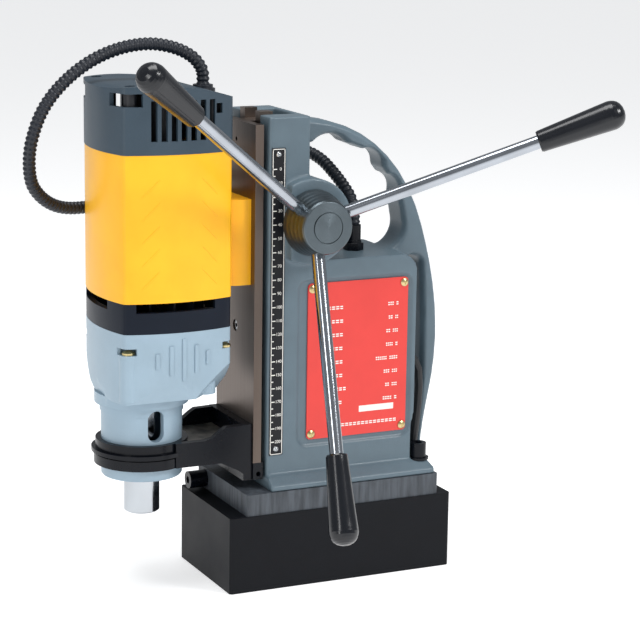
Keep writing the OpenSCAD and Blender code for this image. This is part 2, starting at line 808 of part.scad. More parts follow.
module nose_bracket() color(black_c) difference() {
    union() {
        for (s = [-1, 1]) scale([s, 1, 1])
            along_x(bracket_x - 5.5, bracket_x) polygon(cheek_outline);
        block([-bracket_x, -73.5, 80], [bracket_x, slide_front, 122]);
        block([-bracket_x, -118, 104.4], [bracket_x, slide_front - 3, 109.4]);
        zcyl(0, spindle_y, ring_z[0], ring_z[1], 33.4);
        zcyl(0, spindle_y, ring_z[0], 102.2, 34.6);
        zcyl(0, spindle_y, 103.6, 106.6, 36.4);
        // Ears of the clamp, on the far side
        block([-48, spindle_y - 8, 97], [-31, spindle_y + 8, 111]);
    }
    zcyl(0, spindle_y, 90, 130, neck_r);
    block([-50, spindle_y - 1, 90], [-25, spindle_y + 1, 120]);
    ycyl(-42, 104, spindle_y - 9, spindle_y + 9, 2.6);
    for (x = [-24, 24], z = bracket_bolt_z) {
        ycyl(x, z, -75, slide_front + 1, 2.6);
        ycyl(x, z, -80, -70, 4.8);
    }
}

module bracket_bolts() color("#3a3d42") for (x = [-24, 24], z = bracket_bolt_z)
    translate([x, -70, z]) rotate([90, 0, 0]) cap_screw(2.5, 9, 4.2, 4, 2.1);

module clamp_screw() color("#8b8f92")
    translate([-42, spindle_y - 8, 104]) rotate([90, 0, 0])
        cap_screw(2.5, 15.5, 4.3, 5, 2.1);

// -------------------------------------------------------------------- drill

// A prism of the drill body's section: four bulging sides, blunt corners
module body_prism(inset, z0, z1) translate([0, motor_y, z0]) intersection() {
    for_side(0) cylinder(r = side_r - inset, h = z1 - z0, $fn = 180);
    for_side(90) cylinder(r = side_r - inset, h = z1 - z0, $fn = 180);
    for_side(180) cylinder(r = side_r - inset, h = z1 - z0, $fn = 180);
    for_side(270) cylinder(r = side_r - inset, h = z1 - z0, $fn = 180);
    cylinder(r = corner_r - inset, h = z1 - z0, $fn = 180);
}
module for_side(a) rotate(a) translate([-side_off, 0, 0]) children();

module motor_housing() color(yellow_c) difference() {
    union() {
        body_prism(0, collar_top, housing_top);
        body_prism(3.4, housing_top - 0.2, housing_top + 3.8);
        // The air guide round the top bearing
        zcyl(0, motor_y, 321, 362, 18);
        for (p = cover_screw_xy) zcyl(p[0], p[1], 315, cover_seat(p) - 3.4, 5);
    }
    // The bore, crossed by the bridge that holds the top bearing
    difference() {
        body_prism(motor_bore, 314, 340);
        for (p = cover_screw_xy) zcyl(p[0], p[1], 314, 341, 5);
        block([-60, motor_y - 11, 321], [60, motor_y + 11, 326]);
        zcyl(0, motor_y, 321, 341, 18);
    }
    body_prism(motor_bore, collar_top - 1, 315);
    zcyl(0, motor_y, 330, 363, 11);
    zcyl(0, motor_y, 310, 340, 6);
    for (p = cover_screw_xy) zcyl(p[0], p[1], 340, 380, 1.7);
}

module stator() color("#4b4f55") difference() {
    body_prism(motor_bore, 236, 290);
    zcyl(0, motor_y, 235, 291, 23.5);
    for (a = [0:90:270]) translate([0, motor_y, 235]) rotate(a + 45)
        translate([24, -5, 0]) cube([7, 10, 60]);
}

module field_coils() color("#a5522a") for (z = [[226, 236], [290, 299]])
    difference() {
        zcyl(0, motor_y, z[0], z[1], 34);
        zcyl(0, motor_y, z[0] - 1, z[1] + 1, 24.5);
    }

brush_z = 309;
module brush_gear() color("#8a6a3a") for (s = [-1, 1]) {
    difference() {
        intersection() {
            translate([s * 30, motor_y, brush_z])
                cube([29, 12, 12], center = true);
            body_prism(motor_bore, 300, 320);
        }
        translate([s * 25, motor_y, brush_z]) cube([23, 7, 7], center = true);
    }
    translate([s * 24.2, motor_y, brush_z]) cube([21, 7, 7], center = true);
}

// The black collar between the motor and the gearbox, with air outlets
module fan_collar() color("#2b3440") difference() {
    body_prism(0.4, gearbox_top, collar_top);
    body_prism(5, gearbox_top - 1, collar_top + 1);
    block([-60, motor_y - 32, outlet_z], [60, motor_y + 26.6, collar_top + 1]);
    block([-35, motor_y - 60, outlet_z], [19, motor_y + 60, collar_top + 1]);
}
outlet_z = 212.6;

module gear_plate() color(alloy_c) difference() {
    body_prism(5.2, gearbox_top, gearbox_top + 4.5);
    zcyl(0, motor_y, 190, 210, 8);
    zcyl(lay_x, lay_y, 190, 201, 6.5);
}

// Ribs on the gearbox's sides: [y, height]
rib_at = [[-145, 11], [-135, 21], [-125.5, 30], [-116, 20], [-107, 10]];
corner_at = [for (sx = [-1, 1], y = [-35.5, 37]) [sx * 35.5, motor_y + y]];
main_corner = [35.5, motor_y - 35.5];
screw_z = 182.5;

// Cuts everything outside a sloping plane that starts dist from the motor's
// axis at height z, on the side at angle a, and leans in by lean degrees
module slope_cut(a, dist, z, lean) translate([0, motor_y, 0]) rotate(a)
    translate([dist, 0, z]) rotate([0, lean, 0])
    translate([0, -70, -70]) cube([50, 140, 70]);

module gearbox_shell() {
    difference() {
        union() {
            body_prism(0.3, gearbox_bottom, gearbox_top);
            intersection() {
                body_prism(-0.6, 150, 196);
                for (r = rib_at) block([-60, r[0] - 1.3, 178 - r[1] / 2],
                    [60, r[0] + 1.3, 178 + r[1] / 2]);
            }
        }
        slope_cut(-90, 46.6, 159.5, 12);
        for (a = [0, 90, 180]) slope_cut(a, 46.6, 159.5, 27);
        for (a = [45, 135, 225]) slope_cut(a, 56.8, 172, 37);
    }
    // The near front corner keeps its screw column to the bottom
    zcyl(main_corner[0], main_corner[1], 149, screw_z, 6.6);
    zcyl(29, -103, 148.5, 161, 8);
    zcyl(0, spindle_y, neck_top, gearbox_bottom + 1, 34);
}

module gearbox_housing() color(alloy_c) difference() {
    gearbox_shell();
    // Gear chamber, with posts for the corner screws
    difference() {
        body_prism(5, 175, 202);
        for (p = corner_at) zcyl(p[0], p[1], 170, 190, 8);
    }
    zcyl(0, spindle_y, 164.5, 184, 26.6);
    zcyl(lay_x, lay_y, 161, 184, 12);
    zcyl(0, spindle_y, neck_top - 1, 170, 23.5);
    zcyl(lay_x, lay_y, 154, 162, 5);
    // Pockets that the corner screws sit in
    for (p = corner_at) {
        zcyl(p[0], p[1], screw_z, 187.5, 6);
        zcyl(p[0], p[1], 168, 184, 2.2);
        translate([p[0], p[1], screw_z]) scale([sign(p[0]), sign(p[1] - motor_y), 1])
            translate([-4, -4, 0]) cube([24, 24, 5]);
    }
}

module gearbox_screws() color("#c9b27a") for (p = corner_at)
    translate([p[0], p[1], screw_z]) pan_screw(2.1, 14, 4.7, 3.2);

// The neck that the bracket clamps, with the drift slot right through it
module neck_sleeve() color(alloy_c) difference() {
    union() {
        zcyl(0, spindle_y, neck_bottom + 1, neck_top, neck_r);
        zcyl(0, spindle_y, neck_bottom, neck_bottom + 1.1, neck_r - 0.8);
        zcyl(0, spindle_y, 134, neck_top, neck_r + 0.9);
    }
    zcyl(0, spindle_y, neck_bottom + 3, neck_top + 1, 23.5);
    zcyl(0, spindle_y, neck_bottom - 1, neck_bottom + 4, 16);
    along_x(-40, 40) translate([spindle_y, (slot_z0 + slot_z1) / 2])
        obround(12, slot_z1 - slot_z0);
}

// A ball bearing drawn as its two races and the shield between them
module race(x, y, z0, z1, r_in, r_out) difference() {
    zcyl(x, y, z0, z1, r_out);
    zcyl(x, y, z0 - 1, z1 + 1, r_in);
    for (z = [z0 - 1, z1 - 0.6]) translate([x, y, z]) difference() {
        cylinder(r = r_out * 0.88, h = 1.6);
        translate([0, 0, -1]) cylinder(r = r_in * 0.4 + r_out * 0.6 - 2, h = 4);
    }
}

lay_bearing_r = 5;
module bearings() color("#c4c7ca") {
    race(0, spindle_y, 90, 106, 15 + running, 23.5);
    race(0, spindle_y, 151, 163.5, 15 + running, 23.5);
    race(0, motor_y, gearbox_top, gearbox_top + 6, 4 + running, 8);
    race(0, motor_y, 330, 337, 4 + running, 11);
    difference() {
        zcyl(lay_x, lay_y, 154.5, 160, lay_bearing_r);
        zcyl(lay_x, lay_y, 154, 161, 3 + running);
    }
    difference() {
        zcyl(lay_x, lay_y, 196.6, 201, 6.5);
        zcyl(lay_x, lay_y, 196, 202, 3 + running);
    }
}

// Side profile of the cover: level over the brushes, falling to the rear
cover_profile = concat(
    [[-176, housing_top], [-176, 367.6]],
    curve([[-168, 369.6], [-150, 371], [-128, 370.8], [-110, 367.2]], 6),
    curve([[-110, 367.2], [-100, 365], [-90, 362.6], [-79, 358.6]], 4),
    [[-79, housing_top]]
);
vent_y = [for (i = [0:6]) -147.4 + i * 7.2];

module cover_body(inset, drop) intersection() {
    body_prism(inset - 0.4, housing_top - 1, 390);
    translate([0, 0, -drop]) along_x(-60, 60) polygon(cover_profile);
}

module top_cover() color("#4a5a66") difference() {
    cover_body(0, 0);
    difference() {
        translate([0, 0, -0.1]) cover_body(3, 3);
        zcyl(0, gland_y, 352, 380, 12);
        for (p = cover_screw_xy)
            zcyl(p[0], p[1], cover_seat(p) - 3.4, 380, 6);
    }
    for (y = vent_y, s = [-1, 1]) scale([s, 1, 1])
        along_x(36, 60) translate([y, 346.5]) square([4.4, 28], center = true);
    // Windows at the corners, over the terminals
    for (s = [-1, 1]) scale([s, 1, 1]) difference() {
        union() {
            block([25, -180, 356.4], [60, -155, 365.4]);
            along_x(36, 60) translate([-98.5, 354]) square([5, 7], center = true);
        }
        zcyl(34, motor_y - 33, 350, 370, 5);
    }
    zcyl(0, gland_y, 350, 380, 5.2);
    zcyl(0, gland_y, gland_seat, 380, 9.2);
    for (p = cover_screw_xy) {
        zcyl(p[0], p[1], 330, 380, 2);
        zcyl(p[0], p[1], cover_seat(p), 380, 3.8);
    }
}

cover_screw_xy = [for (s = [-1, 1], y = [-33, 28]) [s * 34, motor_y + y]];
function cover_seat(p) = p[1] < -130 ? 368 : 363;
module cover_screws() color("#26292e") for (p = cover_screw_xy)
    translate([p[0], p[1], cover_seat(p)]) pan_screw(1.7, 16, 3.4, 1.8);

gland_seat = 361;
module motor_gland() color("#22252a") difference() {
    union() {
        zcyl(0, gland_y, gland_seat, 366, 7.2);
        zcyl(0, gland_y, gland_seat, 363.4, 8.8);
        zcyl(0, gland_y, 352, gland_seat + 1, 5);
    }
    zcyl(0, gland_y, 350, 370, 2.6);
}

module conduit() color("#1c2129")
    swept_tube(concat([conduit_ends[0]], smooth_route(conduit_route, 2),
        [conduit_ends[1]]), conduit_r, 12);

// ------------------------------------------------------- turning drill parts

taper_r0 = 8.89;
taper_r1 = 7.33;
taper_top = 120;

module spindle() color("#c9ccce") difference() {
    union() {
        zcyl(0, spindle_y, spindle_end_z + 1, 89, spindle_r);
        translate([0, spindle_y, spindle_end_z])
            cylinder(r1 = spindle_r - 1, r2 = spindle_r, h = 1);
        zcyl(0, spindle_y, 89, 164.5, 15);
        zcyl(0, spindle_y, 106.4, 150.6, 17);
        zcyl(0, spindle_y, 164.4, 182, 11);
    }
    translate([0, spindle_y, spindle_end_z - eps])
        cylinder(r1 = taper_r0, r2 = taper_r1, h = taper_top - spindle_end_z);
    // Tang slot, in line with the slot in the neck
    along_x(-20, 20) translate([spindle_y, 127]) obround(6.6, 22);
}

module output_gear() color("#8d9194") difference() {
    union() {
        translate([0, spindle_y, 166]) rotate(out_angle + 180 - 180 / stage2_gear)
            gear(stage2_module, stage2_gear, 0.8, 1.2, 0.3, 13);
        zcyl(0, spindle_y, 164.6, 181, 15.5);
    }
    zcyl(0, spindle_y, 160, 190, 11);
}

module layshaft() color("#8d9194") union() {
    zcyl(lay_x, lay_y, 155.5, 200, 3);
    translate([lay_x, lay_y, 165]) rotate(out_angle)
        gear(stage2_module, stage2_pinion, 0.85, 1.15, 0.3, 17);
    translate([lay_x, lay_y, 184.5])
        rotate(lay_angle + 180 - 180 / stage1_gear)
        gear(stage1_module, stage1_gear, 0.8, 1.2, 0.2, 9.2);
}

module armature() color("#9a9da0") {
    zcyl(0, motor_y, 194, 338, 4);
    translate([0, motor_y, 184]) rotate(lay_angle)
        gear(stage1_module, stage1_pinion, 0.8, 1.15, 0.2, 11);
    difference() {
        zcyl(0, motor_y, 238, 288, 22.8);
        for (a = [0:20:340]) translate([0, motor_y, 237]) rotate(a)
            translate([20.6, -0.9, 0]) cube([4, 1.8, 60]);
    }
    difference() {
        zcyl(0, motor_y, 300, 318, 13);
        for (a = [0:15:345]) translate([0, motor_y, 299]) rotate(a)
            translate([12.4, -0.25, 0]) cube([2, 0.5, 20]);
    }
    zcyl(0, motor_y, 288, 300, 17);
}

module cooling_fan() color("#3a3f46") difference() {
    union() {
        zcyl(0, motor_y, 206, 208, 34);
        zcyl(0, motor_y, 206, 217, 9);
        for (a = [0:30:330]) translate([0, motor_y, 207]) rotate(a)
            translate([8, -0.8, 0]) cube([25.5, 1.6, 9]);
    }
    zcyl(0, motor_y, 205, 218, 4);
}

// ------------------------------------------------------------------ capstan

module pinion_shaft() color("#8d9194") {
    xcyl(hub_y, hub_z, -40.5, 70, shaft_r);
    translate([-15, hub_y, hub_z]) rotate([0, 90, 0]) rotate(90)
        gear(rack_module, pinion_teeth, 0.9, 1.15, 0.32, 30);
}

// Puts a child on an arm: its +Z runs out along the arm from the hub axis
module on_arm(k) translate([arm_root_x, hub_y, hub_z])
    rotate([arm_angle + 120 * k, 0, 0]) rotate([0, 0, -arm_tilt])
    rotate([-90, 0, 0]) children();

module hub() color("#6d7576") difference() {
    translate([0, hub_y, hub_z]) rotate([0, 90, 0]) rotate_extrude()
        polygon([
            [0, hub_back_x], [hub_back_r - 0.8, hub_back_x],
            [hub_back_r, 48], [hub_back_r - 0.2, 50], [22.6, 56], [21, 63],
            [hub_r + 0.4, 70], [hub_r, 71.3], [hub_r - 0.8, hub_front_x],
            [11.4, hub_front_x], [11.4, 71.3], [10.7, 71.3],
            [10.7, hub_front_x + 0.3], [0, hub_front_x + 0.6]
        ]);
    xcyl(hub_y, hub_z, hub_back_x - 1, 70, shaft_r);
    for (k = [0:2]) on_arm(k) translate([0, 0, 12]) cylinder(r = rod_r + 0.02, h = 30);
}

module arm_rods() color(chrome_c) for (k = [0:2]) on_arm(k) {
    translate([0, 0, 12]) cylinder(r = rod_r, h = arm_len - 12);
}

grip_start = 168;
grip_big = 222;
module arm_grips() color("#23272c") for (k = [0:2]) on_arm(k) difference() {
    rotate_extrude() polygon(concat(
        [[0, grip_start], [7.2, grip_start], [7.8, grip_start + 1.2],
            [10.4, grip_big - 3], [10.5, grip_big]],
        curve([[10.5, grip_big], [10, 226.5], [8, 231], [0, 231.5]], 6)
    ));
    translate([0, 0, grip_start - 1])
        cylinder(r = rod_r + 0.02, h = arm_len - grip_start + 1);
}

// --------------------------------------------------------------- all parts

magnet_housing();
magnet_core();
magnet_coil();
magnet_potting();
spacer_plate();
strap_pin();
drill_frame();
frame_bolts();
control_cover();
cover_plate_screws();
nameplate();
nameplate_screws();
travel_scale();
scale_rivets();
gib_strips();
gib_screws();
pinion_bushes();
conduit_gland();
magnet_lead();
circuit_board();
rectifier_block();
terminal_block();
inlet_gland();
indicator_lamp();
switch_bezels();
magnet_rocker();
start_button();
stop_button();
speed_knob();
slide_plate();
rack();
stop_block();
mount_block();
mount_bolts();
nose_bracket();
bracket_bolts();
clamp_screw();
motor_housing();
stator();
field_coils();
brush_gear();
fan_collar();
gear_plate();
gearbox_housing();
gearbox_screws();
neck_sleeve();
bearings();
top_cover();
cover_screws();
motor_gland();
conduit();
spindle();
output_gear();
layshaft();
armature();
cooling_fan();
pinion_shaft();
hub();
arm_rods();
arm_grips();
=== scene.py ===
# Looks of the magnetic drill press: materials, cast and moulded detail,
# the corrugated conduit, printed marks, camera and light.
import json
import math

import bpy
from mathutils import Matrix, Vector


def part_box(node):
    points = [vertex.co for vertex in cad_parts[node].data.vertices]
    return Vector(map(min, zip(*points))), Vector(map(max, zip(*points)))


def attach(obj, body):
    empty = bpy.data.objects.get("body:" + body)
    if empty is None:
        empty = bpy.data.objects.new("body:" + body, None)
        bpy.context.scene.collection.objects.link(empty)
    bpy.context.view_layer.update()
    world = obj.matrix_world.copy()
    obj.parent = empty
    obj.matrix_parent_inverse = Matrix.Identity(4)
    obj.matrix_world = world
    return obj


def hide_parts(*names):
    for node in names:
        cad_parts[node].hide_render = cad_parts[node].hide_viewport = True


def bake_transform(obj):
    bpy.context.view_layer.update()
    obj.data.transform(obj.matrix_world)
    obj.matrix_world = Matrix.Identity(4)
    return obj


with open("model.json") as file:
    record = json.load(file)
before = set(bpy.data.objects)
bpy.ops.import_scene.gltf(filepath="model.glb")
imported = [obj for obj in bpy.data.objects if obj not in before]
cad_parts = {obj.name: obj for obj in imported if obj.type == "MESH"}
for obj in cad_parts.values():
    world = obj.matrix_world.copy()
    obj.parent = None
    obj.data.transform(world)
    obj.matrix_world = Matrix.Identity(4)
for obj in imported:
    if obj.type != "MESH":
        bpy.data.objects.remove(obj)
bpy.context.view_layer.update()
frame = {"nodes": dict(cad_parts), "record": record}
nodes = frame["nodes"]
MM = 0.001


# ------------------------------------------------------------------ camera

def make_camera():
    """The photograph's view, from a fit of its perspective."""
    azimuth, elevation, roll = [math.radians(a) for a in (64.468, 12.121, 0.874)]
    back = Vector((
        math.sin(azimuth) * math.cos(elevation),
        -math.cos(azimuth) * math.cos(elevation),
        math.sin(elevation),
    ))
    side = Vector((math.cos(azimuth), math.sin(azimuth), 0))
    up = back.cross(side)
    right = math.cos(roll) * side + math.sin(roll) * up
    top = -math.sin(roll) * side + math.cos(roll) * up
    data = bpy.data.cameras.new("camera")
    data.lens = 122.5
    data.sensor_width = 36
    data.clip_start, data.clip_end = 0.05, 20
    cam = bpy.data.objects.new("camera", data)
    bpy.context.scene.collection.objects.link(cam)
    place = Matrix((right, top, back)).transposed().to_4x4()
    place.translation = Vector((1.4314, -0.6818, 0.5280))
    cam.matrix_world = place
    bpy.context.scene.camera = cam


make_camera()


# --------------------------------------------------------------- materials

# The painted shade for the hollow inside a shell, black where shade falls, and the
# move that brings the capstan's axis to the origin
PAINTED_INSIDE_SHADE = (0.012, 0.013, 0.016, 1)
TO_CAPSTAN_AXIS = (0, 0.027, -0.27)


def rgb(tint):
    """A colour as seen on screen, turned into the renderer's linear values."""
    out = []
    for i in (1, 3, 5):
        v = int(tint[i:i + 2], 16) / 255
        out.append(v / 12.92 if v <= 0.04045 else ((v + 0.055) / 1.055) ** 2.4)
    return (*out, 1)


def material(
    name, tint, rough, metal=0.0, vary=0.06, vary_scale=40, bump=0.0,
    bump_scale=900, coat=0.0, stretch=(1, 1, 1), shade=None, rough_vary=0.08,
    rings=None, specular=0.5, painted_shade_above=None,
):
    """One procedural surface: a tint that drifts, uneven gloss, fine relief and, if asked,
    painted shade above a height.
    """
    m = bpy.data.materials.new(name)
    m.use_nodes = True
    tree = m.node_tree
    new, link = tree.nodes.new, tree.links.new
    bsdf = tree.nodes["Principled BSDF"]
    bsdf.inputs["Metallic"].default_value = metal
    bsdf.inputs["Coat Weight"].default_value = coat
    bsdf.inputs["Coat Roughness"].default_value = 0.12
    bsdf.inputs["Specular IOR Level"].default_value = specular
    place = new("ShaderNodeTexCoord")
    spread = new("ShaderNodeMapping")
    spread.inputs["Scale"].default_value = stretch
    link(place.outputs["Object"], spread.inputs["Vector"])
    drift = new("ShaderNodeTexNoise")
    drift.inputs["Scale"].default_value = vary_scale
    drift.inputs["Detail"].default_value = 4
    link(spread.outputs["Vector"], drift.inputs["Vector"])
    ramp = new("ShaderNodeValToRGB")
    base = rgb(tint)
    dark = rgb(shade) if shade else tuple(c * (1 - 2.2 * vary) for c in base[:3])
    ramp.color_ramp.elements[0].color = (*dark[:3], 1)
    ramp.color_ramp.elements[0].position = 0.3
    ramp.color_ramp.elements[1].color = base
    ramp.color_ramp.elements[1].position = 0.62
    link(drift.outputs["Fac"], ramp.inputs["Fac"])
    colour = ramp.outputs["Color"]
    if painted_shade_above:
        # Painted shade: above this height the hollow inside is painted black, for the shade
        # in there
        parts = new("ShaderNodeSeparateXYZ")
        link(place.outputs["Object"], parts.inputs["Vector"])
        over = new("ShaderNodeMath")
        over.operation = "GREATER_THAN"
        over.inputs[1].default_value = painted_shade_above
        link(parts.outputs["Z"], over.inputs[0])
        mix = new("ShaderNodeMix")
        mix.data_type = "RGBA"
        mix.inputs["B"].default_value = PAINTED_INSIDE_SHADE
        link(over.outputs["Value"], mix.inputs["Factor"])
        link(colour, mix.inputs["A"])
        colour = mix.outputs["Result"]
    link(colour, bsdf.inputs["Base Color"])
    gloss = new("ShaderNodeMapRange")
    gloss.inputs["To Min"].default_value = max(0.03, rough - rough_vary)
    gloss.inputs["To Max"].default_value = min(1, rough + rough_vary)
    fine = new("ShaderNodeTexNoise")
    fine.inputs["Scale"].default_value = bump_scale
    fine.inputs["Detail"].default_value = 3
    link(spread.outputs["Vector"], fine.inputs["Vector"])
    link(drift.outputs["Fac"], gloss.inputs["Value"])
    link(gloss.outputs["Result"], bsdf.inputs["Roughness"])
    height = fine.outputs["Fac"]
    if rings:
        turned = new("ShaderNodeTexWave")
        turned.wave_type = "RINGS"
        turned.rings_direction = rings
        turned.inputs["Scale"].default_value = 330
        turned.inputs["Distortion"].default_value = 0.6
        moved = new("ShaderNodeMapping")
        moved.inputs["Location"].default_value = TO_CAPSTAN_AXIS
        link(place.outputs["Object"], moved.inputs["Vector"])
        link(moved.outputs["Vector"], turned.inputs["Vector"])
        height = turned.outputs["Fac"]
    if bump:
        relief = new("ShaderNodeBump")
        relief.inputs["Strength"].default_value = bump
        relief.inputs["Distance"].default_value = 0.0004
        link(height, relief.inputs["Height"])
        link(relief.outputs["Normal"], bsdf.inputs["Normal"])
    return m


LOOKS = {
    "black_paint": dict(tint="#0f1116", rough=0.5, bump=0.12, bump_scale=700, vary=0.1,
                        specular=0.15),
    "iron": dict(tint="#6b6f73", rough=0.42, metal=0.9, bump=0.15),
    "copper": dict(tint="#a5522a", rough=0.35, metal=0.6, bump=0.3, stretch=(1, 1, 60)),
    "resin": dict(tint="#101114", rough=0.5, bump=0.1),
    "spacer_paint": dict(tint="#4a5057", shade="#2b3036", rough=0.6, bump=0.9, bump_scale=420,
                         vary_scale=260, stretch=(1, 1, 0.12)),
    "black_steel": dict(tint="#0b0e15", rough=0.27, bump=0.08, specular=0.2),
    "casting_paint": dict(tint="#5b6c76", rough=0.45, bump=0.35, bump_scale=750, vary=0.06,
                          coat=0.08, specular=0.4),
    "zinc": dict(tint="#b9bcbe", rough=0.3, metal=1.0, bump=0.08),
    "brass_screw": dict(tint="#d0bd8a", rough=0.3, metal=1.0, bump=0.08),
    "red_plate": dict(tint="#dc423c", rough=0.42, bump=0.05, vary=0.03, specular=0.35),
    "black_scale": dict(tint="#101116", rough=0.45, bump=0.05, specular=0.3),
    "ground_steel": dict(tint="#6a5f58", rough=0.38, metal=1.0, bump=0.25, bump_scale=500,
                         stretch=(1, 1, 0.03), vary_scale=70),
    "bronze": dict(tint="#b08a4a", rough=0.35, metal=1.0, bump=0.1),
    "lead_rubber": dict(tint="#17181b", rough=0.55, bump=0.15),
    "board_green": dict(tint="#2f6b45", rough=0.5, bump=0.2),
    "rectifier": dict(tint="#5b6064", rough=0.5, bump=0.1),
    "cream_plastic": dict(tint="#d8d3c4", rough=0.45, bump=0.05),
    "black_plastic": dict(tint="#181d26", rough=0.42, bump=0.12, specular=0.4),
    "green_plastic": dict(tint="#2f9e4f", rough=0.3, bump=0.03, coat=0.3),
    "red_plastic": dict(tint="#c9302c", rough=0.3, bump=0.03, coat=0.3),
    # Painted shade: black above 323.6 mm, for the shade inside the hollow shell
    "yellow_paint": dict(tint="#fab81c", shade="#f6b016", rough=0.4, bump=0.08,
                         bump_scale=500, coat=0.08, specular=0.35, painted_shade_above=0.3236),
    "lamination": dict(tint="#5b5f65", rough=0.4, metal=0.9, bump=0.3, stretch=(1, 1, 40)),
    "collar_plastic": dict(tint="#131a26", rough=0.36, bump=0.1, specular=0.15),
    "light_alloy": dict(tint="#93a9b8", rough=0.4, bump=0.26, bump_scale=700, coat=0.1,
                        vary=0.04),
    "bearing_steel": dict(tint="#b3b8bd", rough=0.17, metal=1.0, bump=0.03),
    "slate_plastic": dict(tint="#33434f", rough=0.44, bump=0.25, bump_scale=1100, vary=0.06,
                          specular=0.4),
    "dark_turned_steel": dict(tint="#5f686d", rough=0.36, metal=1.0, bump=0.3, rings="X",
                              vary=0.05),
    "chrome": dict(tint="#a9aeb5", rough=0.15, metal=1.0, bump=0.02, rough_vary=0.03),
    "grip_plastic": dict(tint="#0f1218", rough=0.22, bump=0.03, coat=0.1, specular=0.4,
                         rough_vary=0.04),
    "white_print": dict(tint="#eceae4", rough=0.5, bump=0.03, vary=0.03),
    # A pale metal for the top of the bracket web
    "pale_metal": dict(tint="#8d8880", shade="#3a3a3c", rough=0.42, metal=0.8, bump=0.4,
                       bump_scale=300, vary_scale=90),
}
MATS = {name: material(name, **look) for name, look in LOOKS.items()}


# ------------------------------------------------------------ mesh helpers

def smooth(o, angle=32):
    """Shades a piece smooth, with sharp edges past the angle in degrees."""
    o.data.shade_smooth()
    o.data.set_sharp_from_angle(angle=math.radians(angle))


def dress(o, slot, bevel):
    """Paints a CAD node and rounds its edges by so many millimetres."""
    o.data.materials.clear()
    o.data.materials.append(MATS[slot])
    smooth(o)
    if bevel:
        weld = o.modifiers.new("weld", "WELD")
        weld.merge_threshold = 0.00001
        b = o.modifiers.new("edges", "BEVEL")
        b.width = bevel * MM
        b.segments = 2
        b.limit_method = "ANGLE"
        b.angle_limit = math.radians(32)
        b.use_clamp_overlap = True
        flat = o.modifiers.new("normals", "WEIGHTED_NORMAL")
        flat.mode = "FACE_AREA"
        flat.weight = 100
        flat.keep_sharp = True


def piece(name, mesh, body, slot_name, replaces=()):
    """A visual piece that rides on a body, takes a slot's paint and may stand
    for CAD nodes."""
    o = bpy.data.objects.new(name, mesh)
    bpy.context.scene.collection.objects.link(o)
    o.data.materials.append(MATS[slot_name])
    if body:
        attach(o, body)
    if replaces:
        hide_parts(*replaces)
    return o


def mesh_of(name, verts, faces):
    m = bpy.data.meshes.new(name)
    m.from_pydata([tuple(v) for v in verts], [], faces)
    m.update()
    return m


# ------------------------------------------------------- dress the CAD nodes

# Rounded edges, in millimetres. A node that isn't listed stays sharp
BEVELS = {
    "magnet_housing": 0.9, "spacer_plate": 0.8, "slide_plate": 0.4,
    "stop_block": 0.5, "gib_strips": 0.3, "mount_block": 0.8,
    "motor_housing": 0.5, "top_cover": 0.6, "fan_collar": 0.4,
    "gearbox_housing": 0.6, "nose_bracket": 0.7, "hub": 0.3,
    "nameplate": 0.15, "travel_scale": 0.1, "frame_bolts": 0.3,
    "strap_pin": 0.3, "spindle": 0.3, "switch_bezels": 0.25,
    "magnet_rocker": 0.3, "start_button": 0.3, "stop_button": 0.3,
    "speed_knob": 0.25, "inlet_gland": 0.3, "conduit_gland": 0.3,
    "motor_gland": 0.3, "gearbox_screws": 0.15,
}
slot_of = {s["node"]: s["material_slot"] for s in frame["record"]["subparts"]}
for name, o in nodes.items():
    dress(o, slot_of[name], BEVELS.get(name, 0.0))


# ------------------------------------------------------- corrugated conduit

# The same stations as the solid conduit, gland to gland, in millimetres
CONDUIT_ENDS = [(5, 26, 259), (0, -93, 366)]
CONDUIT = [
    (5, 26, 264), (4.2, 25.6, 271), (1, 24.6, 279), (-6, 22, 287),
    (-16, 19, 295), (-28, 15, 303), (-40, 9, 308), (-50, -1, 310),
    (-56, -15, 309), (-59, -35, 304), (-60, -62, 296), (-60, -92, 288),
    (-59, -120, 281), (-56, -144, 276), (-50, -165, 274),
    (-43, -184, 276), (-36, -199, 283), (-30, -210, 295),
    (-25, -214, 311), (-21, -213, 329), (-17, -206, 350),
    (-13, -193, 368), (-10, -174, 383), (-7, -153, 392),
    (-4, -132, 395), (-2, -114, 392), (-0.6, -101, 385.5),
    (0, -94.2, 377), (0, -93, 370),
]
# Radius at each station of one ridge, and the space between stations
RIDGE = (3.95, 3.95, 4.4, 4.7, 4.7, 4.4)
STATION_GAP = 0.6


def smooth_line(points, steps):
    """A Catmull-Rom curve through the points."""
    out = []
    last = len(points) - 1
    for i in range(last):
        a, b, c, d = [Vector(points[min(max(i + k, 0), last)]) for k in (-1, 0, 1, 2)]
        for k in range(steps):
            t = k / steps
            out.append(0.5 * (
                2 * b + (c - a) * t + (2 * a - 5 * b + 4 * c - d) * t * t
                + (3 * b - a - 3 * c + d) * t ** 3
            ))
    return out + [Vector(points[-1])]


def even_line(points, step):
    """The same line with its stations a step apart, and its length."""
    lengths = [0]
    for a, b in zip(points, points[1:]):
        lengths.append(lengths[-1] + (b - a).length)
    count = round(lengths[-1] / step)
    out, i = [], 0
    for k in range(count + 1):
        s = lengths[-1] * k / count
        while i < len(points) - 2 and lengths[i + 1] < s:
            i += 1
        t = (s - lengths[i]) / (lengths[i + 1] - lengths[i])
        out.append(points[i].lerp(points[i + 1], t))
    return out, lengths[-1]


